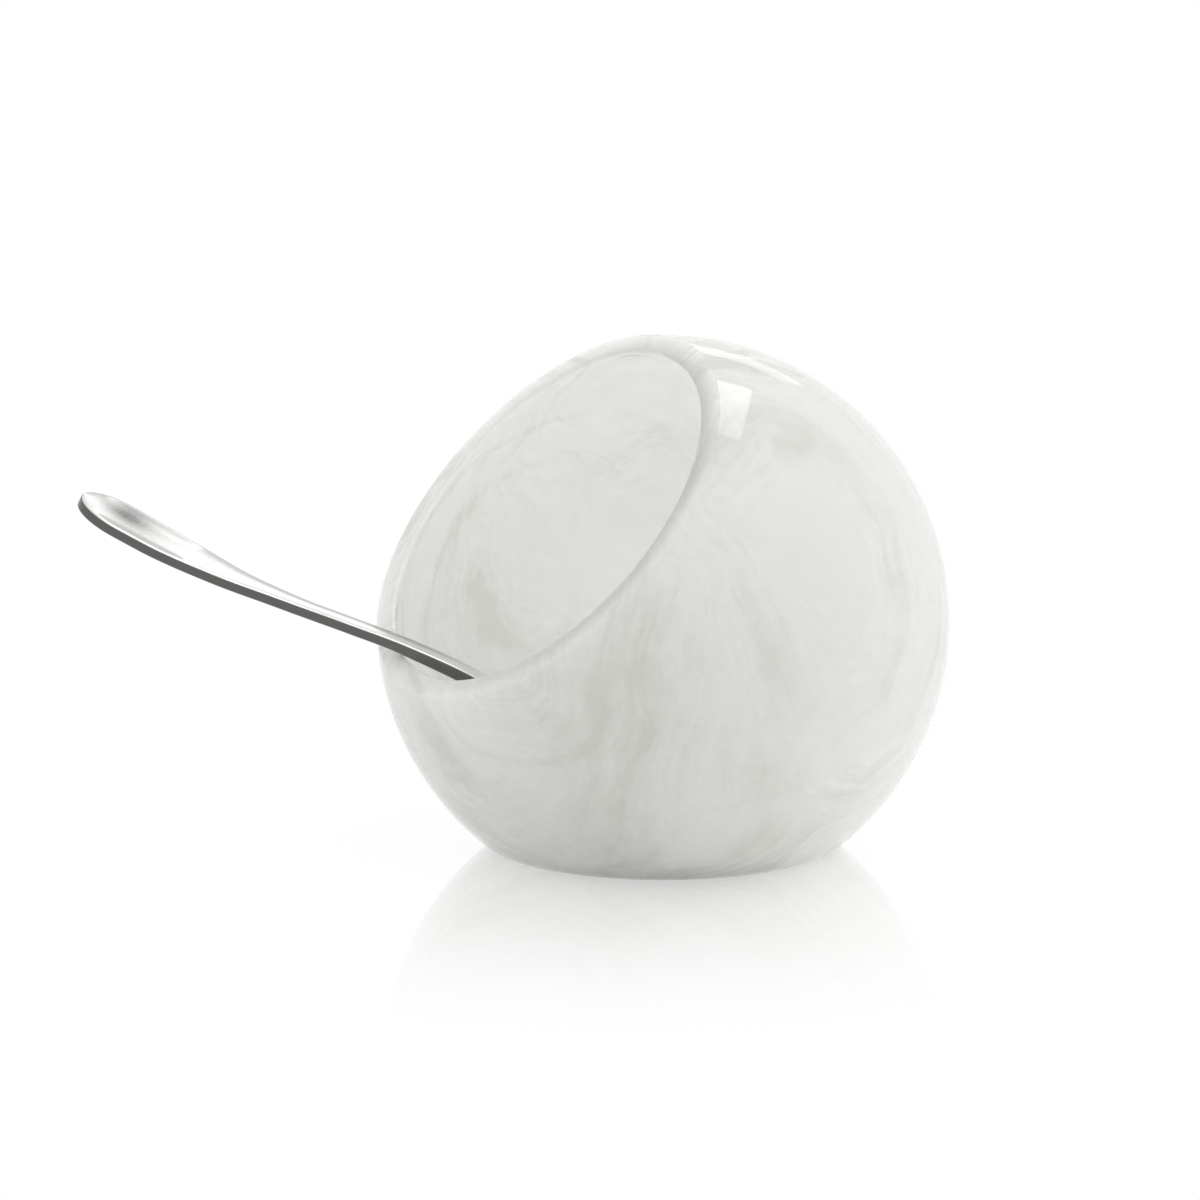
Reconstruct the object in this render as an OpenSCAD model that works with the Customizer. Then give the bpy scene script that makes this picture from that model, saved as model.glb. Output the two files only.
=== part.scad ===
// Ball-shaped salt cellar of cast resin, with a slanted round mouth and a loose
// steel teaspoon that leans in it. Millimetres, +Z up, origin at the middle of
// the flat foot, mouth towards -Y.

/* [Ball] */
// Outside diameter of the ball
ball_d = 110; // [100:1:130]
// Height of the middle of the ball above the table
centre_h = 43.7; // [40:0.1:45]
// Thickness of the cast wall
wall = 3.6; // [2.6:0.1:5]
// Thickness of the resin under the cavity
floor_t = 6.2; // [4.5:0.1:8]
// Radius that rolls the ball into its flat foot
foot_round = 8; // [3:0.5:14]
// Radius between the cavity's wall and its floor
floor_round = 9; // [4:0.5:14]

/* [Mouth] */
// Rise of the mouth's axis above the table, in degrees
mouth_rise = 40; // [34:1:50]
// Distance from the middle of the ball to the plane of the rim
mouth_depth = 35.8; // [33:0.1:38]
// Rounding of the rim's outer edge
outer_edge = 0.8; // [0.3:0.1:1.2]
// Rounding of the rim's inner edge
inner_edge = 0.5; // [0.3:0.1:0.8]

/* [Spoon] */
// Length of the spoon
spoon_len = 140; // [130:1:150]
// Height of the neck above the table, when the spoon lies by itself
spoon_arch = 8.8; // [7:0.1:11]
// Widest part of the spoon's bowl
scoop_w = 29; // [24:0.5:33]
// Depth of the hollow in the spoon's bowl
scoop_depth = 6.9; // [5:0.1:7.3]
// Widest part of the handle, near its end
paddle_w = 14.4; // [11:0.1:18]
// Depth of the shallow hollow in the handle's end
paddle_hollow = 0.35; // [0.1:0.05:0.5]
// Width of the neck
neck_w = 4.6; // [3.4:0.1:6]
// Thickness of the steel in the spoon's bowl
scoop_metal = 1.3; // [1:0.1:1.6]
// Thickness of the steel at the neck
neck_metal = 2.5; // [2:0.1:3.2]
// Thickness of the steel in the handle
handle_metal = 2.1; // [1.5:0.1:2.3]
// Rounding along the spoon's edges
spoon_edge = 0.35; // [0.2:0.05:0.5]

/* [Resting place] */
// Turn round the rim, from its lowest point to where the handle rests, in degrees
rest_turn = 24; // [10:1:34]
// Heading of the handle, away from the way that the mouth faces, in degrees
heading = 38; // [30:1:44]
// Clearance between the spoon and what it rests on
seat_gap = 0.3; // [0.2:0.05:0.5]

/* [Hidden] */
$fn = 96;
resin = [0.90, 0.90, 0.88];
steel = [0.74, 0.74, 0.73];

ball_r = ball_d / 2;
cavity_r = ball_r - wall;
// Size of the shapes that trim a section, past the whole ball
reach = ball_d;
// Depth that the floor's round corner runs on into the wall
overrun = wall / 18;

// Middles of the two small arcs that round the rim, as radius and height on the mouth's axis
outer_arc = arc_middle(ball_r - outer_edge, mouth_depth - outer_edge);
inner_arc = arc_middle(cavity_r + inner_edge, mouth_depth - inner_edge);

// Places along the spoon, as shares of its length from the tip of its bowl:
// the bowl's deepest and widest places, its end at the neck, the handle's
// resting place on the rim, and the middle and half length of its end's hollow
deepest_share = 0.157;
widest_share = 0.175;
scoop_share = 0.37;
rest_share = 0.522;
hollow_share = 0.9;
hollow_reach_share = 0.075;
// Length of the handle's round end and of its flat tip, as shares of the length
round_share = 0.064;
tip_share = 0.0005;
// Width of the handle's hollow, as a share of the handle's width
hollow_width_share = 0.86;
// Height of the top face above the table, as shares of the arch
height_shares = [
    [0, 1.03], [0.16, 0.95], [0.32, 1.01], [0.43, 1], [0.514, 0.89],
    [0.6, 0.68], [0.686, 0.46], [0.786, 0.285], [0.893, 0.23], [1, 0.239]
];
// Widening of the handle, from 0 at the neck's width to 1 at the widest
paddle_shares = [
    [0.54, 0], [0.65, 0.02], [0.714, 0.14], [0.757, 0.32], [0.8, 0.57], [0.843, 0.8], [0.886, 0.95], [0.936, 1]
];
// Thickness of the steel along the spoon
metal_shares = [
    [0, scoop_metal], [0.29, scoop_metal], [0.38, neck_metal],
    [0.44, neck_metal], [0.57, handle_metal], [1, handle_metal]
];
// Counts of facets along the spoon and across it
stations = 72;
strips = 10;

function arc_middle(from_middle, height) = [sqrt(from_middle ^ 2 - height ^ 2), height];
function along(point, distance) = point * distance / norm(point);

// Slope at one knot of a smooth curve that never overshoots its knots
function rise(knots, i) = (knots[i + 1][1] - knots[i][1]) / (knots[i + 1][0] - knots[i][0]);
function slope(knots, i) =
    i == 0 ? rise(knots, 0) :
    i == len(knots) - 1 ? rise(knots, i - 1) :
    let (before = rise(knots, i - 1), after = rise(knots, i))
    before * after <= 0 ? 0 : 2 * before * after / (before + after);

// Value at x of the smooth curve through knots
function smooth(knots, x, i = 0) =
    x <= knots[0][0] ? knots[0][1] :
    i == len(knots) - 1 ? knots[i][1] :
    x > knots[i + 1][0] ? smooth(knots, x, i + 1) :
    let (
        span = knots[i + 1][0] - knots[i][0],
        t = (x - knots[i][0]) / span
    )
    knots[i][1] * (1 + 2 * t) * (1 - t) ^ 2 + knots[i + 1][1] * t ^ 2 * (3 - 2 * t)
    + span * (slope(knots, i) * t * (1 - t) ^ 2 - slope(knots, i + 1) * t ^ 2 * (1 - t));

// Outline of the spoon seen from above: half its width at a share of its length
function half_width(share) =
    share < widest_share ? scoop_w / 2 * sqrt(max(0, 1 - (1 - share / widest_share) ^ 2)) :
    share < scoop_share ? let (t = (share - widest_share) / (scoop_share - widest_share))
        (neck_w + (scoop_w - neck_w) * (1 + cos(180 * t ^ 1.25)) / 2) / 2 :
    let (
        flare = (neck_w + (paddle_w - neck_w) * smooth(paddle_shares, share)) / 2,
        end = max(0, share - 1 + round_share) / round_share
    )
    flare * sqrt(max(0, 1 - end ^ 2));

// Depth of the hollow on top, at a share of the length and of the half width
function hollow(share, across) =
    let (
        ramp = share < deepest_share ? 1 - share / deepest_share :
            min(1, (share - deepest_share) / (scoop_share - deepest_share)),
        end = max(0, 1 - abs((share - hollow_share) / hollow_reach_share) ^ 3)
    )
    scoop_depth * (1 - ramp ^ 2.2) * (1 - across ^ 2) ^ 0.85
    + paddle_hollow * end * max(0, 1 - (across / hollow_width_share) ^ 4);

function top(share) = spoon_arch * smooth(height_shares, share);
function metal(share) = smooth(metal_shares, share);
function underside(share, across) = top(share) - hollow(share, across) - metal(share);

// Pose of the spoon: it lies flat across the rim's inner edge, and its bowl
// has come down to the floor of the cavity
rim_point = [
    -inner_arc.x * sin(rest_turn),
    -inner_arc.y * cos(mouth_rise) - inner_arc.x * cos(rest_turn) * sin(mouth_rise),
    centre_h + inner_arc.y * sin(mouth_rise) - inner_arc.x * cos(rest_turn) * cos(mouth_rise)
];
rim_run = [-cos(rest_turn), sin(rest_turn) * sin(mouth_rise), sin(rest_turn) * cos(mouth_rise)];
ahead = [-sin(heading), -cos(heading), 0];
beside = [cos(heading), -sin(heading), 0];
step_share = 0.01;
handle_slope = atan2(
    underside(rest_share + step_share, 0) - underside(rest_share - step_share, 0),
    2 * step_share * spoon_len
);

function roll_at(pitch) =
    let (
        lean = pitch + handle_slope,
        face = [0, 0, cos(lean)] - ahead * sin(lean)
    )
    atan(-(face * rim_run) / (beside * rim_run));

// Height of the lowest point of the spoon's bowl above the table, at a pitch
function bowl_height(pitch) =
    let (
        roll = roll_at(pitch),
        lift = inner_edge + seat_gap - underside(rest_share, 0)
    )
    rim_point.z + min([
        for (i = [1:24], j = [-8:8])
        let (share = scoop_share * i / 24, across = j / 8)
        (share - rest_share) * spoon_len * sin(pitch)
        + ((underside(share, across) + lift) * cos(roll) - across * half_width(share) * sin(roll)) * cos(pitch)
    ]);

function seated_pitch(low, high, tries = 16) =
    let (middle = (low + high) / 2)
    tries == 0 ? middle :
    bowl_height(middle) > floor_t + seat_gap ? seated_pitch(middle, high, tries - 1) :
    seated_pitch(low, middle, tries - 1);

spoon_pitch = seated_pitch(5, 60);
spoon_roll = roll_at(spoon_pitch);

// Ball with its wall, whole but for the mouth, as turned about the mouth's axis
module ball_section() {
    outer_touch = along(outer_arc, ball_r);
    inner_touch = along(inner_arc, cavity_r);
    difference() {
        circle(ball_r);
        circle(cavity_r);
        polygon([
            inner_touch + (inner_touch - outer_touch) * ball_r / wall,
            outer_touch + (outer_touch - inner_touch) * ball_r / wall,
            [0, reach], [-reach, reach], [-reach, 0]
        ]);
        translate([-reach, -reach]) square([reach, 2 * reach]);
    }
    polygon([
        inner_touch, inner_arc, [inner_arc.x, mouth_depth],
        [outer_arc.x, mouth_depth], outer_arc, outer_touch
    ]);
    translate(inner_arc) circle(inner_edge);
    translate(outer_arc) circle(outer_edge);
}

// Space above a flat bottom that a round corner joins to a ball of radius r
module above_flat(r, bottom, corner) {
    middle = [arc_middle(r - corner, centre_h - bottom - corner).x, bottom + corner];
    touch = [0, centre_h] + along(middle - [0, centre_h], r);
    polygon([
        [0, bottom], [middle.x, bottom], middle, touch,
        [reach, touch.y], [reach, 2 * reach], [0, 2 * reach]
    ]);
    translate(middle) circle(corner);
}

module floor_section() {
    difference() {
        translate([0, centre_h]) circle(cavity_r + wall / 2);
        above_flat(cavity_r + overrun, floor_t, floor_round);
        translate([-reach, -reach]) square([reach, 3 * reach]);
    }
}

module cellar_ball() color(resin) {
    intersection() {
        union() {
            translate([0, 0, centre_h]) rotate([90 - mouth_rise, 0, 0]) rotate_extrude() ball_section();
            rotate_extrude() floor_section();
        }
        rotate_extrude() above_flat(ball_r, 0, foot_round);
    }
}

// Shares of the length at which the spoon's sections stand, closer at both ends
function station(i) =
    tip_share + (1 - 2 * tip_share) * (1 - cos(180 * i / stations)) / 2;

function section(share) =
    let (
        half = max(half_width(share), 2 * spoon_edge),
        inner = half - spoon_edge,
        x = share * spoon_len,
        edge_top = top(share),
        edge_low = top(share) - metal(share)
    )
    concat(
        [for (j = [0:strips]) let (across = -1 + 2 * j / strips)
            [x, inner * across, top(share) - hollow(share, across)]],
        [[x, half, edge_top - spoon_edge], [x, half, edge_low + spoon_edge]],
        [for (j = [strips:-1:0]) let (across = -1 + 2 * j / strips)
            [x, inner * across, underside(share, across)]],
        [[x, -half, edge_low + spoon_edge], [x, -half, edge_top - spoon_edge]]
    );

module loft(sections) {
    ring = len(sections[0]);
    last = len(sections) - 1;
    polyhedron(
        points = [for (one = sections) for (point = one) point],
        faces = concat(
            [[for (j = [0:ring - 1]) j]],
            [for (i = [0:last - 1], j = [0:ring - 1])
                let (next = (j + 1) % ring)
                [i * ring + j, (i + 1) * ring + j, (i + 1) * ring + next, i * ring + next]],
            [[for (j = [ring - 1:-1:0]) last * ring + j]]
        ),
        convexity = 6
    );
}

module spoon() color(steel) {
    translate(rim_point)
    rotate([-spoon_roll, -spoon_pitch, -90 - heading])
    translate([-rest_share * spoon_len, 0, inner_edge + seat_gap - underside(rest_share, 0)])
    loft([for (i = [0:stations]) section(station(i))]);
}

cellar_ball();
spoon();
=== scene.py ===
import math
import bmesh
import bpy
from mathutils import Matrix, Vector


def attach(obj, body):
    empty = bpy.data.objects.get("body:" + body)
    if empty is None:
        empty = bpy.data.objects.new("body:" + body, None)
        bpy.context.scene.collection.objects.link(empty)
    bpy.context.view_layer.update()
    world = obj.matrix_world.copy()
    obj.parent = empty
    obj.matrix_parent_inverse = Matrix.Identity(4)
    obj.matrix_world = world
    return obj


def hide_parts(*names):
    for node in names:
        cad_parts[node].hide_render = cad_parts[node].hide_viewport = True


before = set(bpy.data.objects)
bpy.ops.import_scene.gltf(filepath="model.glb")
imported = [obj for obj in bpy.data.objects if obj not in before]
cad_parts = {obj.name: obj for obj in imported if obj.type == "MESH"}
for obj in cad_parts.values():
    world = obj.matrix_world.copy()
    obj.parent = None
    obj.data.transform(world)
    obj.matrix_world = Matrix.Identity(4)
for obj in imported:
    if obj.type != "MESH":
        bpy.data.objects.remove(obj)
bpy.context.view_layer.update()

# Sizes of the cellar, in metres, as the maker's drawing gives them
MM = 0.001
BALL_R = 55 * MM
CENTRE_H = 43.7 * MM
WALL = 3.6 * MM
FLOOR_T = 6.2 * MM
FOOT_ROUND = 8 * MM
FLOOR_ROUND = 9 * MM
MOUTH_RISE = math.radians(40)
MOUTH_DEPTH = 35.8 * MM
OUTER_EDGE = 0.8 * MM
INNER_EDGE = 0.5 * MM
CAVITY_R = BALL_R - WALL
CENTRE = Vector((0, 0, CENTRE_H))
MOUTH_AXIS = Vector((0, -math.cos(MOUTH_RISE), math.sin(MOUTH_RISE)))

# Sizes of the teaspoon, in metres
SPOON_LEN = 140 * MM
SPOON_ARCH = 8.8 * MM
SCOOP_W = 29 * MM
SCOOP_DEPTH = 6.9 * MM
PADDLE_W = 14.4 * MM
PADDLE_HOLLOW = 0.35 * MM
NECK_W = 4.6 * MM
SCOOP_METAL = 1.3 * MM
NECK_METAL = 2.5 * MM
HANDLE_METAL = 2.1 * MM
SPOON_EDGE = 0.35 * MM
HANDLE_CROWN = 0.16 * MM
REST_TURN = math.radians(24)
HEADING = math.radians(38)
SEAT_GAP = 0.3 * MM

# Places along the spoon, as shares of its length from the tip of its bowl
DEEPEST, WIDEST, SCOOP_END, REST = 0.157, 0.175, 0.37, 0.522
DISH_AT, DISH_REACH, ROUND_END, DISH_WIDTH = 0.9, 0.075, 0.064, 0.86
HEIGHTS = [
    (0, 1.03), (0.16, 0.95), (0.32, 1.01), (0.43, 1), (0.514, 0.89),
    (0.6, 0.68), (0.686, 0.46), (0.786, 0.285), (0.893, 0.23), (1, 0.239),
]
WIDENING = [
    (0.54, 0), (0.65, 0.02), (0.714, 0.14), (0.757, 0.32),
    (0.8, 0.57), (0.843, 0.8), (0.886, 0.95), (0.936, 1),
]
METAL = [
    (0, SCOOP_METAL), (0.29, SCOOP_METAL), (0.38, NECK_METAL),
    (0.44, NECK_METAL), (0.57, HANDLE_METAL), (1, HANDLE_METAL),
]


# Colours of the resin, from its whitest veils to its darkest
RESIN_TONES = (
    (0.0, (0.985, 0.987, 0.943)),
    (0.30, (0.908, 0.915, 0.868)),
    (0.55, (0.793, 0.803, 0.754)),
    (0.82, (0.64, 0.65, 0.608)),
    (1.0, (0.55, 0.56, 0.52)),
)
LILAC = (0.955, 0.94, 1.0)


# Shader recipes
class Wire:
    """One output of a node. Sums on values add Math nodes, and sums on vectors Vector Math nodes."""

    def __init__(self, recipe, socket):
        self.recipe = recipe
        self.socket = socket

    def sum(self, operation, *others):
        operands = [self, *others]
        arrows = [w for w in operands if isinstance(w, Wire) and w.socket.type == "VECTOR"]
        kind = "ShaderNodeVectorMath" if arrows else "ShaderNodeMath"
        return self.recipe.node(kind, {"operation": operation}, dict(enumerate(operands)))

    def __add__(self, other):
        return self.sum("ADD", other)

    def __sub__(self, other):
        return self.sum("SUBTRACT", other)

    def __mul__(self, other):
        return self.sum("MULTIPLY", other)

    def __truediv__(self, other):
        return self.sum("DIVIDE", other)

    def __pow__(self, other):
        return self.sum("POWER", other)

    def __radd__(self, other):
        return self + other

    def __rmul__(self, other):
        return self * other

    def __rsub__(self, other):
        return self * -1 + other

    def __rtruediv__(self, other):
        return self ** -1 * other

    def measure(self, operation, *others):
        """A number taken from vectors."""
        operands = dict(enumerate((self, *others)))
        return self.recipe.node("ShaderNodeVectorMath", {"operation": operation}, operands, "Value")

    def dot(self, other):
        return self.measure("DOT_PRODUCT", other)

    def length(self):
        return self.measure("LENGTH")

    def unit(self):
        return self.sum("NORMALIZE")

    def size(self):
        return self.sum("ABSOLUTE")

    def upto(self, limit):
        return self.sum("MINIMUM", limit)

    def from_least(self, limit):
        return self.sum("MAXIMUM", limit)

    def step(self, low, high):
        """0 below low, 1 above high and smooth between."""
        if low > high:
            return 1 - self.step(high, low)
        settings = {"interpolation_type": "SMOOTHSTEP", "clamp": True}
        sockets = {"Value": self, "From Min": low, "From Max": high}
        return self.recipe.node("ShaderNodeMapRange", settings, sockets)

    def bell(self, middle, width):
        """1 at middle, falling away on both sides over about width."""
        return self.recipe.number("EXPONENT", ((self - middle) / width) ** 2 * -1)


class Recipe:
    """A procedural material or world, made node by node."""

    def __init__(self, tree):
        self.tree = tree
        tree.nodes.clear()

    def node(self, kind, settings=None, sockets=None, output=0):
        made = self.tree.nodes.new(kind)
        for name, value in (settings or {}).items():
            if name == "stops":
                spots = made.color_ramp.elements
                spots.remove(spots[-1])
                for index, (at, tone) in enumerate(value):
                    spot = spots.new(at) if index else spots[0]
                    spot.position = at
                    spot.color = (*tone, 1)
                continue
            setattr(made, name, value)
        for name, value in (sockets or {}).items():
            socket = made.inputs[name]
            if isinstance(value, Wire):
                self.tree.links.new(value.socket, socket)
            elif socket.type == "VECTOR" and not hasattr(value, "__len__"):
                socket.default_value = (value, value, value)
            elif socket.type == "RGBA" and len(value) == 3:
                socket.default_value = (*value, 1)
            else:
                socket.default_value = value
        return Wire(self, made.outputs[output]) if made.outputs else made

    def number(self, operation, *values):
        return self.node("ShaderNodeMath", {"operation": operation}, dict(enumerate(values)))

    def join(self, x, y, z):
        return self.node("ShaderNodeCombineXYZ", sockets={0: x, 1: y, 2: z})

    def noise(self, at, scale, detail=3.0, roughness=0.5, output=0):
        sockets = {"Vector": at, "Scale": scale, "Detail": detail, "Roughness": roughness}
        return self.node("ShaderNodeTexNoise", {"noise_dimensions": "3D"}, sockets, output)

    def wander(self, at, scale, reach, detail=2.0):
        """at, pushed about by a slow noise, up to about reach."""
        push = self.noise(at, scale, detail, output=1)
        half = self.node("ShaderNodeVectorMath", {"operation": "SUBTRACT"}, {0: push, 1: (0.5, 0.5, 0.5)})
        return at + half * (2 * reach)

    def blend(self, share, first, second):
        """A colour that goes from first to second."""
        settings = {"data_type": "RGBA", "blend_type": "MIX"}
        return self.node("ShaderNodeMix", settings, {0: share, 6: first, 7: second}, 2)

    def oval(self, at, middle, along, stretch):
        """How far at is from a middle, with places along one direction counted as nearer."""
        away = at - middle
        along = Vector(along).normalized()
        run = away.dot(tuple(along)) * (1 - 1 / stretch)
        return (away - self.join(*(run * part for part in along))).length()

    def pour(self, at, pole, side, around, along):
        """Place in a flow that spreads from a pole: around turns with it, along runs away from it."""
        pole, side = Vector(pole).normalized(), Vector(side).normalized()
        other = side.cross(pole)
        flat = self.join(at.dot(side), at.dot(other), 0).unit()
        fall = self.number("ARCCOSINE", at.unit().dot(pole))
        return flat * around + self.join(0, 0, fall * along)


def finish_material(name):
    material = bpy.data.materials.new(name)
    material.use_nodes = True
    return material, Recipe(material.node_tree)


def distance(at, place):
    return (at - place).length()


def marbled_resin():
    """Milky cast resin with soft grey veils, drawn out along the way it was poured."""
    material, mix = finish_material("marbled_resin")
    place = mix.node("ShaderNodeTexCoord", output="Object")
    at = (place - tuple(CENTRE)) / BALL_R
    slow = mix.wander(at, 1.3, 0.16, 1.0)
    bent = mix.wander(mix.wander(slow, 3.4, 0.055, 1.0), 8.0, 0.022, 2.0)

    # The fan that hangs from the top of the rim to the foot
    fan_top = (0.625, -0.185, 0.758)
    fan_side = (0.482, 0.872, -0.086)
    fan_fall = distance(bent, fan_top)
    fan_off = bent.dot(fan_side)
    fan_reach = (fan_off - 0.01).size() / (fan_fall * 0.30 + 0.05)
    in_fan = fan_reach.step(1.9, 0.6) * fan_fall.step(2.0, 1.3) * fan_fall.step(0.22, 0.62)
    fan_flow = mix.pour(bent, fan_top, fan_side, 1.8, 0.35)
    fan_lines = (fan_off + 0.17).bell(0.0, 0.05) * fan_fall.bell(0.65, 0.25) * 0.34
    fan_lines = fan_lines - fan_off.bell(0.02, 0.06) * fan_fall.bell(0.55, 0.25) * 0.3

    # The almond-shaped swirl on the right, with bands round it
    almond = mix.oval(bent, (0.921, -0.006, 0.36), (0.381, 0.231, -0.896), 1.5)
    in_almond = almond.step(1.05, 0.45)
    almond_flow = mix.join(1.9 - almond * 4.6, 1.8, 0.15) + bent * 0.5
    almond_core = almond.bell(0.0, 0.2) * 0.7 + almond.bell(0.0, 0.36) * 0.22
    bands = almond.bell(0.385, 0.035) * 0.26 - almond.bell(0.49, 0.045) * 0.26
    bands = bands + almond.bell(0.60, 0.035) * 0.22 - almond.bell(0.71, 0.045) * 0.18

    # The folds that hang under the lowest part of the rim
    fold = distance(bent, (0.372, -0.926, 0.0))
    in_fold = fold.step(1.1, 0.45)
    fold_flow = mix.join(0.2 - fold * 4.0, 2.0, 0.3) + bent * 0.55
    fold_line = fold.bell(0.36, 0.03) * bent.dot((0, 0, -1)).step(-0.1, 0.1) * 0.26

    # The arcs inside the cavity, round a darker pit
    arc = mix.oval(bent, (-0.97, 0.10, -0.02), (-0.05, 0.75, 0.45), 1.35)
    in_arc = arc.step(1.25, 0.85)
    arc_flow = mix.join(arc * 4.0, 2.3, 0.9) + bent * 0.8
    arc_lines = (arc.bell(0.70, 0.035) + arc.bell(0.47, 0.04)) * 0.38 - arc.bell(0.58, 0.06) * 0.2
    pit = distance(bent, (-0.985, -0.16, -0.02)).bell(0.0, 0.14) * 0.22

    # Loose folds everywhere else
    loose_flow = mix.join(mix.noise(bent, 1.2, 0.0) * 6.0, 1.0, 1.0) + bent * 0.9
    flow = loose_flow
    for share, part in (
        (in_arc, arc_flow),
        (in_fold, fold_flow),
        (in_almond, almond_flow),
        (in_fan, fan_flow),
    ):
        flow = flow + (part - flow) * share

    # Veils in the flow, from broad to fine
    broad = mix.noise(flow, 1.1, 1.0)
    streaks = mix.noise(flow, 2.5, 5.0, 0.68)
    cloud = mix.noise(bent, 2.6, 4.0, 0.6)
    strength = mix.noise(slow, 2.4, 1.0).step(0.30, 0.68)
    grey = (broad - 0.5) * 1.7 + (streaks - 0.5) * (strength * 1.1 + 0.55) + (cloud - 0.5) * 1.1
    grey = grey - almond_core + bands * (1 - in_fan) * (strength * 0.6 + 0.5)
    grey = grey + fan_lines + fold_line + arc_lines + pit

    # Darker and lighter places that the veils lie over: a dark spot, a darker patch on the front right
    # and a slightly lighter rim; the inside of the cavity is painted light, paler than the outside
    spot = distance(mix.wander(at, 5, 0.05), (0.742, 0.0, 0.67)).bell(0.0, 0.10) * 0.5
    shoulder = distance(bent, (0.76, -0.64, -0.02)).bell(0.0, 0.30) * 0.34
    # Painted light: the inside of the cavity made paler, standing in for light that reaches into it
    cavity = at.length().step(0.975, 0.95) * 0.28
    rim_face = at.dot(tuple(MOUTH_AXIS)).step(0.636, 0.646) * 0.05
    grey = grey + spot + shoulder - cavity - rim_face
    depth = (grey * 1.02 + 0.57).from_least(0).upto(1)
    tone = mix.node("ShaderNodeValToRGB", {"stops": RESIN_TONES}, {0: depth})
    lilac = distance(mix.wander(at, 3, 0.12), (-0.903, 0.42, 0.093)).bell(0.0, 0.36)
    tone = mix.blend(lilac * 0.9, tone, LILAC)

    # Polished skin with the faintest ripple of the casting
    ripple = mix.noise(at, 3.0, 2.0) * 0.7 + mix.noise(at, 26.0, 2.0) * 0.05
    bump = mix.node("ShaderNodeBump", None, {"Strength": 0.03, "Distance": 0.6 * MM, "Height": ripple})
    sockets = {
        "Base Color": tone,
        "Roughness": mix.noise(at, 7.0, 3.0) * 0.015 + 0.008 + depth * 0.004,
        "Normal": bump,
        "IOR": 1.5,
        "Subsurface Weight": 1.0,
        "Subsurface Radius": (1.0, 1.0, 0.98),
        "Subsurface Scale": 34 * MM,
    }
    skin = mix.node("ShaderNodeBsdfPrincipled", None, sockets)
    mix.node("ShaderNodeOutputMaterial", None, {"Surface": skin})
    return material


def satin_steel(spoon_from_world):
    """Stainless steel, satin in its hollows and softly polished on its flats, with painted shade on its
    edges, the far side of its crown and its dish.
    """
    material, mix = finish_material("satin_steel")
    place = mix.node("ShaderNodeTexCoord", output="Object")
    facing = mix.node("ShaderNodeTexCoord", output="Normal")
    rows = [tuple(row[:3]) for row in spoon_from_world[:3]]
    along, across, height = (place.dot(rows[i]) + spoon_from_world[i][3] for i in range(3))
    at = mix.join(along, across, height) / MM
    share = along / SPOON_LEN
    side = across / PADDLE_W * 2

    # Grain of the last polish, drawn out along the handle
    grain = mix.noise(at * (0.12, 5.0, 5.0), 1.0, 4.0, 0.6)
    haze = mix.noise(at * (0.06, 0.5, 0.5), 1.0, 3.0, 0.5)
    # Fine speckle left by the press in the dished end
    speckle = mix.noise(at, 3.4, 3.0, 0.75)
    dish = share.bell(DISH_AT, 0.055) * side.bell(0.0, 0.62)
    hollow = (dish + share.step(0.36, 0.30)).upto(1)
    pits = speckle.step(0.50, 0.64) * dish
    worn = mix.noise(at * 0.9, 1.0, 4.0, 0.65)

    # Painted shade: darker base colour on the edges, on the far side of the crown and in the pit of the
    # dish, standing in for dark surroundings mirrored there
    # Painted shade on the edges, where the metal turns away from the top
    edge = facing.dot(rows[2]).size().step(0.90, 0.45)
    # Painted shade along the far side of the crown on the handle
    far_side_painted_shade = facing.dot(rows[1]).step(0.01, -0.05) * share.step(0.40, 0.50)
    # Painted shade in the pit of the dish, nearly black, broken by the speckle of its grain
    dish_painted_shade = share.bell(0.935, 0.036) * side.bell(-0.25, 0.62) * (speckle.step(0.35, 0.6) * 0.3 + 0.7)
    tint = mix.blend(haze, (0.75, 0.75, 0.74), (0.68, 0.678, 0.665))
    tint = mix.blend(pits * 0.4, tint, (0.42, 0.415, 0.41))
    tint = mix.blend(far_side_painted_shade * 0.8, tint, (0.37, 0.367, 0.36))
    tint = mix.blend(dish_painted_shade * 0.95, tint, (0.04, 0.039, 0.038))
    tint = mix.blend(edge, tint, (0.125, 0.123, 0.12))

    rough = grain * 0.10 + 0.13 + haze * 0.05 + hollow * 0.10 + pits * 0.12 + worn.step(0.62, 0.75) * 0.05
    relief = grain * 0.5 + speckle * dish * 1.6 + worn * 0.2
    bump = mix.node("ShaderNodeBump", None, {"Strength": 0.22, "Distance": 0.05 * MM, "Height": relief})
    sockets = {
        "Base Color": tint,
        "Metallic": 1.0,
        "Roughness": rough,
        "Normal": bump,
    }
    skin = mix.node("ShaderNodeBsdfPrincipled", None, sockets)
    mix.node("ShaderNodeOutputMaterial", None, {"Surface": skin})
    return material


# Meshes
def mesh_piece(name, points, faces, material, body, node):
    mesh = bpy.data.meshes.new(name)
    mesh.from_pydata([tuple(p) for p in points], [], faces)
    work = bmesh.new()
    work.from_mesh(mesh)
    bmesh.ops.remove_doubles(work, verts=work.verts, dist=0.002 * MM)
    bmesh.ops.recalc_face_normals(work, faces=work.faces)
    for face in work.faces:
        face.smooth = True
    work.to_mesh(mesh)
    work.free()
    piece = bpy.data.objects.new(name, mesh)
    bpy.context.scene.collection.objects.link(piece)
    mesh.materials.append(material)
    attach(piece, body)
    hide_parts(node)
    return piece


def quads(rings, turns):
    """Faces between rings of points that close on themselves."""
    faces = []
    for i in range(rings - 1):
        for k in range(turns):
            after = (k + 1) % turns
            faces.append((i * turns + k, i * turns + after, (i + 1) * turns + after, (i + 1) * turns + k))
    return faces


def arc_middle(from_middle, height):
    return Vector((math.sqrt(from_middle ** 2 - height ** 2), height))


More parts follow.
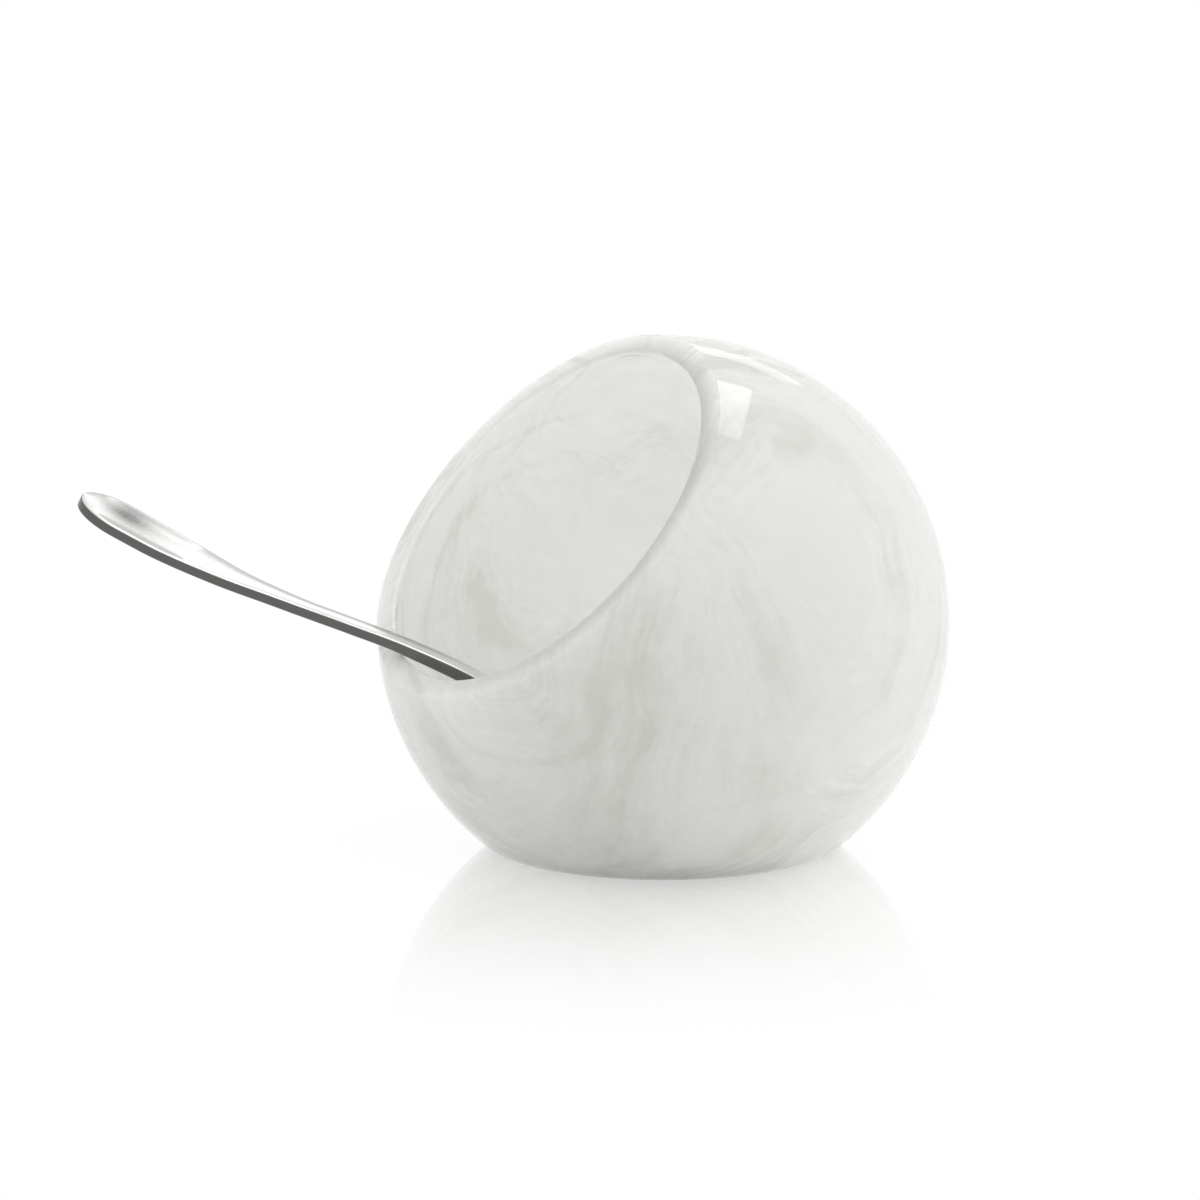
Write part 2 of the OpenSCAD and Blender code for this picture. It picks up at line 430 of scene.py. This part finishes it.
def reach_of(direction, radius, bottom, corner):
    """How far a ball goes from its middle to its surface, flat bottom or the round corner between."""
    across = math.hypot(direction.x, direction.y)
    drop = -direction.z
    drawn_in = CENTRE_H - bottom - corner
    middle = Vector((math.sqrt((radius - corner) ** 2 - drawn_in ** 2), drawn_in))
    if drop <= 0 or across * middle.y >= drop * middle.x:
        return radius
    flat = (CENTRE_H - bottom) / drop
    if flat * across <= middle.x:
        return flat
    towards = across * middle.x + drop * middle.y
    return towards + math.sqrt(towards ** 2 - middle.length_squared + corner ** 2)


def rim_arcs():
    """Middles of the two small rounds of the rim, out from the mouth's axis and along it."""
    outer = arc_middle(BALL_R - OUTER_EDGE, MOUTH_DEPTH - OUTER_EDGE)
    inner = arc_middle(CAVITY_R + INNER_EDGE, MOUTH_DEPTH - INNER_EDGE)
    return outer, inner


def resin_ball(material):
    """The cast ball as one turned skin: outside, rounded rim and cavity, with the foot and floor flat."""
    outer_arc, inner_arc = rim_arcs()
    turns, outside_rows, inside_rows, edge_rows, flat_rows = 256, 112, 100, 9, 3
    outer_from = math.atan2(outer_arc.x, outer_arc.y)
    inner_from = math.atan2(inner_arc.x, inner_arc.y)
    rows = []
    for i in range(outside_rows + 1):
        rows.append(("outside", math.pi + (outer_from - math.pi) * i / outside_rows))
    for i in range(1, edge_rows + 1):
        turn = outer_from * (1 - i / edge_rows)
        rows.append(("rim", outer_arc + OUTER_EDGE * Vector((math.sin(turn), math.cos(turn)))))
    for i in range(1, flat_rows):
        out = outer_arc.x + (inner_arc.x - outer_arc.x) * i / flat_rows
        rows.append(("rim", Vector((out, MOUTH_DEPTH))))
    for i in range(edge_rows):
        turn = (inner_from - math.pi) * i / edge_rows
        rows.append(("rim", inner_arc + INNER_EDGE * Vector((math.sin(turn), math.cos(turn)))))
    for i in range(inside_rows + 1):
        rows.append(("inside", inner_from + (math.pi - inner_from) * i / inside_rows))
    side = Vector((1, 0, 0))
    other = MOUTH_AXIS.cross(side)
    points = []
    for kind, value in rows:
        for k in range(turns):
            turn = 2 * math.pi * k / turns
            out = side * math.cos(turn) + other * math.sin(turn)
            if kind == "rim":
                points.append(CENTRE + out * value.x + MOUTH_AXIS * value.y)
                continue
            direction = out * math.sin(value) + MOUTH_AXIS * math.cos(value)
            if kind == "outside":
                reach = reach_of(direction, BALL_R, 0, FOOT_ROUND)
            else:
                reach = reach_of(direction, CAVITY_R, FLOOR_T, FLOOR_ROUND)
            points.append(CENTRE + direction * reach)
    faces = quads(len(rows), turns)
    return mesh_piece("resin_ball", points, faces, material, "cellar", "cellar_ball")


def smooth(knots, x):
    """Value at x of a smooth curve through knots that never overshoots them."""
    if x <= knots[0][0]:
        return knots[0][1]
    if x >= knots[-1][0]:
        return knots[-1][1]
    i = max(k for k in range(len(knots) - 1) if knots[k][0] <= x)

    def rise(k):
        return (knots[k + 1][1] - knots[k][1]) / (knots[k + 1][0] - knots[k][0])

    def slope(k):
        if k == 0:
            return rise(0)
        if k == len(knots) - 1:
            return rise(k - 1)
        before, after = rise(k - 1), rise(k)
        return 0 if before * after <= 0 else 2 * before * after / (before + after)

    span = knots[i + 1][0] - knots[i][0]
    t = (x - knots[i][0]) / span
    value = knots[i][1] * (1 + 2 * t) * (1 - t) ** 2 + knots[i + 1][1] * t ** 2 * (3 - 2 * t)
    return value + span * (slope(i) * t * (1 - t) ** 2 - slope(i + 1) * t ** 2 * (1 - t))


def half_width(share):
    if share < WIDEST:
        return SCOOP_W / 2 * math.sqrt(max(0, 1 - (1 - share / WIDEST) ** 2))
    if share < SCOOP_END:
        t = (share - WIDEST) / (SCOOP_END - WIDEST)
        return (NECK_W + (SCOOP_W - NECK_W) * (1 + math.cos(math.pi * t ** 1.25)) / 2) / 2
    flare = (NECK_W + (PADDLE_W - NECK_W) * smooth(WIDENING, share)) / 2
    end = max(0, share - 1 + ROUND_END) / ROUND_END
    return flare * math.sqrt(max(0, 1 - end ** 2))


def hollow_at(share, across):
    ramp = 1 - share / DEEPEST if share < DEEPEST else min(1, (share - DEEPEST) / (SCOOP_END - DEEPEST))
    end = max(0, 1 - abs((share - DISH_AT) / DISH_REACH) ** 3)
    scoop = SCOOP_DEPTH * (1 - ramp ** 2.2) * max(0, 1 - across ** 2) ** 0.85
    return scoop + PADDLE_HOLLOW * end * max(0, 1 - (across / DISH_WIDTH) ** 4)


def top_at(share):
    return SPOON_ARCH * smooth(HEIGHTS, share)


def underside_at(share, across):
    return top_at(share) - hollow_at(share, across) - smooth(METAL, share)


def spoon_pose():
    """Where the spoon lies: flat across the rim's inner edge, its bowl down on the cavity's floor."""
    inner_arc = rim_arcs()[1]
    rim_across = Vector((1, 0, 0))
    rim_down = rim_across.cross(MOUTH_AXIS)
    rim_out = rim_down * math.cos(REST_TURN) - rim_across * math.sin(REST_TURN)
    rim_point = CENTRE + MOUTH_AXIS * inner_arc.y + rim_out * inner_arc.x
    rim_run = -rim_across * math.cos(REST_TURN) - rim_down * math.sin(REST_TURN)
    ahead = Vector((-math.sin(HEADING), -math.cos(HEADING), 0))
    beside = Vector((math.cos(HEADING), -math.sin(HEADING), 0))
    step = 0.01
    rise = underside_at(REST + step, 0) - underside_at(REST - step, 0)
    handle_slope = math.atan2(rise, 2 * step * SPOON_LEN)
    lift = INNER_EDGE + SEAT_GAP - underside_at(REST, 0)

    def roll_at(pitch):
        lean = pitch + handle_slope
        face = Vector((0, 0, math.cos(lean))) - ahead * math.sin(lean)
        return math.atan(-face.dot(rim_run) / beside.dot(rim_run))

    def lowest(pitch):
        roll = roll_at(pitch)
        least = 1.0
        for i in range(1, 25):
            share = SCOOP_END * i / 24
            for j in range(-8, 9):
                across = j / 8
                up = (underside_at(share, across) + lift) * math.cos(roll)
                up -= across * half_width(share) * math.sin(roll)
                least = min(least, (share - REST) * SPOON_LEN * math.sin(pitch) + up * math.cos(pitch))
        return rim_point.z + least

    low, high = math.radians(5), math.radians(60)
    for _ in range(16):
        middle = (low + high) / 2
        if lowest(middle) > FLOOR_T + SEAT_GAP:
            low = middle
        else:
            high = middle
    pitch = (low + high) / 2
    turned = (
        Matrix.Rotation(-math.pi / 2 - HEADING, 4, "Z")
        @ Matrix.Rotation(-pitch, 4, "Y")
        @ Matrix.Rotation(-roll_at(pitch), 4, "X")
    )
    return Matrix.Translation(rim_point) @ turned @ Matrix.Translation((-REST * SPOON_LEN, 0, lift))


def steel_teaspoon(pose, material):
    """The pressed spoon: hollow bowl, crowned handle, dished end and softly rounded edges all round."""
    stations, strips, sides = 260, 30, 5
    points = []
    ring = 2 * (strips + 1) + 2 * (sides - 1)
    for i in range(stations + 1):
        share = (1 - math.cos(math.pi * i / stations)) / 2
        half = half_width(share)
        small = 1e-4
        spread = abs(half_width(min(1, share + small)) - half_width(max(0, share - small)))
        lean = math.hypot(1, spread / (min(1, share + small) - max(0, share - small)) / SPOON_LEN)
        top, metal = top_at(share), smooth(METAL, share)
        edge = min(SPOON_EDGE, metal / 2.4)
        handle = min(1, max(0, (share - SCOOP_END) / 0.08))
        ring_top, ring_low = [], []
        for j in range(strips + 1):
            across = math.sin(math.pi / 2 * (2 * j / strips - 1))
            inset = max(0, (1 - abs(across)) * half / lean)
            near = max(0, edge - inset)
            drop = edge - math.sqrt(max(0, edge ** 2 - near ** 2))
            crown = HANDLE_CROWN * handle * across ** 2
            x, y = share * SPOON_LEN, across * half
            ring_top.append(Vector((x, y, top - hollow_at(share, across) - crown - drop)))
            ring_low.append(Vector((x, y, underside_at(share, across) + drop)))
        points += ring_top
        for one, two in ((ring_top[-1], ring_low[-1]), (ring_low[0], ring_top[0])):
            points_between = [one.lerp(two, k / sides) for k in range(1, sides)]
            if one is ring_top[-1]:
                points += points_between
                points += reversed(ring_low)
            else:
                points += points_between
    points = [pose @ p for p in points]
    faces = quads(stations + 1, ring)
    return mesh_piece("steel_teaspoon", points, faces, material, "spoon", "spoon")


# Studio
def studio_camera():
    turn, lift, away = math.radians(55), math.radians(9), 0.660
    back = Vector((
        math.sin(turn) * math.cos(lift),
        -math.cos(turn) * math.cos(lift),
        math.sin(lift),
    ))
    lens = bpy.data.cameras.new("studio_camera")
    lens.sensor_width = 36
    lens.lens = 102.8
    lens.shift_x = -0.0526
    lens.shift_y = 0.0175
    lens.clip_start = 0.01
    lens.clip_end = 50
    camera = bpy.data.objects.new("studio_camera", lens)
    bpy.context.scene.collection.objects.link(camera)
    camera.location = CENTRE + back * away
    camera.rotation_mode = "QUATERNION"
    camera.rotation_quaternion = (-back).to_track_quat("-Z", "Y")
    bpy.context.scene.camera = camera


def softbox(name, place, size, power, tint=(1, 1, 1), along=(0, 0, 1), mirrored=False):
    """A soft lamp that faces the ball, its height along a direction. Gloss shows it only if mirrored."""
    lamp = bpy.data.lights.new(name, "AREA")
    lamp.shape = "RECTANGLE"
    lamp.size, lamp.size_y = size
    lamp.energy = power
    lamp.color = tint
    holder = bpy.data.objects.new(name, lamp)
    bpy.context.scene.collection.objects.link(holder)
    facing = (Vector(place) - CENTRE).normalized()
    across = Vector(along).cross(facing).normalized()
    turned = Matrix((across, facing.cross(across), facing)).transposed().to_4x4()
    holder.matrix_world = Matrix.Translation(place) @ turned
    holder.visible_camera = False
    holder.visible_glossy = mirrored


def seen_white(mix):
    """1 for what the camera, gloss and clear parts see, 0 for what lights the cellar."""
    camera, gloss, clear = (
        mix.node("ShaderNodeLightPath", output=name)
        for name in ("Is Camera Ray", "Is Glossy Ray", "Is Transmission Ray")
    )
    return camera.sum("MAXIMUM", gloss).sum("MAXIMUM", clear)


def studio_world():
    """Plain white to look at, and a pale grey sky that lights the cellar."""
    world = bpy.data.worlds.new("studio_white")
    bpy.context.scene.world = world
    world.use_nodes = True
    mix = Recipe(world.node_tree)
    height = mix.node("ShaderNodeTexCoord", output="Generated").dot((0, 0, 1))
    sky = mix.blend(height.step(-0.4, 0.9), (0.50, 0.50, 0.485), (0.80, 0.80, 0.785))
    ambient = mix.node("ShaderNodeBackground", None, {"Color": sky, "Strength": 0.85})
    white = mix.node("ShaderNodeBackground", None, {"Color": (1, 1, 1), "Strength": 1.0})
    both = mix.node("ShaderNodeMixShader", None, {0: seen_white(mix), 1: ambient, 2: white})
    mix.node("ShaderNodeOutputWorld", None, {"Surface": both})


def pale_gloss_sheet():
    """Pale and glossy: it mirrors the cellar close by, and fades into plain white."""
    material, mix = finish_material("pale_gloss_sheet")
    place = mix.node("ShaderNodeTexCoord", output="Object")
    pale = mix.blend(mix.noise(place, 9.0, 2.0), (0.76, 0.76, 0.75), (0.77, 0.77, 0.76))
    grazing = mix.node("ShaderNodeFresnel", None, {"IOR": 2.0})
    share = (grazing * 1.9).upto(0.44) * place.length().step(143 * MM, 30 * MM)
    matt = mix.node("ShaderNodeBsdfDiffuse", None, {"Color": pale})
    glow = mix.node("ShaderNodeEmission", None, {"Color": (1, 1, 1), "Strength": 1.0})
    lift = mix.node("ShaderNodeEmission", None, {"Color": (1, 1, 1), "Strength": 0.30})
    near = mix.node("ShaderNodeAddShader", None, {0: matt, 1: lift})
    lit = mix.node("ShaderNodeMixShader", None, {0: share * 0.42, 1: glow, 2: near})
    plain = mix.node("ShaderNodeMixShader", None, {0: seen_white(mix), 1: matt, 2: lit})
    mirror = mix.node("ShaderNodeBsdfGlossy", None, {"Color": (1, 1, 1), "Roughness": 0.03})
    both = mix.node("ShaderNodeMixShader", None, {0: share, 1: plain, 2: mirror})
    mix.node("ShaderNodeOutputMaterial", None, {"Surface": both})
    return material


def studio_floor():
    """A wide round sheet, a hair under the foot."""
    rings = (0.05, 0.1, 0.2, 0.6, 2.0, 6.0)
    turns = 96
    under = -0.1 * MM
    points = []
    for reach in rings:
        for k in range(turns):
            turn = 2 * math.pi * k / turns
            points.append((reach * math.cos(turn), reach * math.sin(turn), under))
    middle = len(points)
    points.append((0, 0, under))
    faces = [(middle, k, (k + 1) % turns) for k in range(turns)]
    faces += [face[::-1] for face in quads(len(rings), turns)]
    sheet = bpy.data.meshes.new("studio_floor")
    sheet.from_pydata(points, [], faces)
    sheet.materials.append(pale_gloss_sheet())
    floor = bpy.data.objects.new("studio_floor", sheet)
    bpy.context.scene.collection.objects.link(floor)


def studio():
    warm = (1.0, 1.0, 0.985)
    bpy.context.scene.view_settings.view_transform = "Standard"
    studio_camera()
    studio_world()
    studio_floor()
    softbox("overhead_softbox", (0.25, 0.30, 1.1), (0.9, 0.9), 1.3, (0.98, 0.98, 1.0), (0, 1, 0))
    softbox(
        "window_softbox", (-0.055, 0.385, 0.965), (0.19, 0.56), 0.76,
        along=(-0.844, 0.456, -0.275), mirrored=True,
    )
    softbox("handle_softbox", (-0.62, 0.55, 0.555), (0.50, 0.14), 0.19, mirrored=True)
    softbox("mouth_softbox", (-0.15, -0.85, 0.75), (0.6, 0.6), 3.3)
    softbox("right_softbox", (1.03, 0.34, 0.55), (0.5, 0.9), 6.6, warm)
    softbox("back_softbox", (-0.80, 0.60, 0.35), (0.5, 0.6), 2.2, warm)


studio()
POSE = spoon_pose()
resin_ball(marbled_resin())
steel_teaspoon(POSE, satin_steel(POSE.inverted()))

bpy.context.view_layer.update()
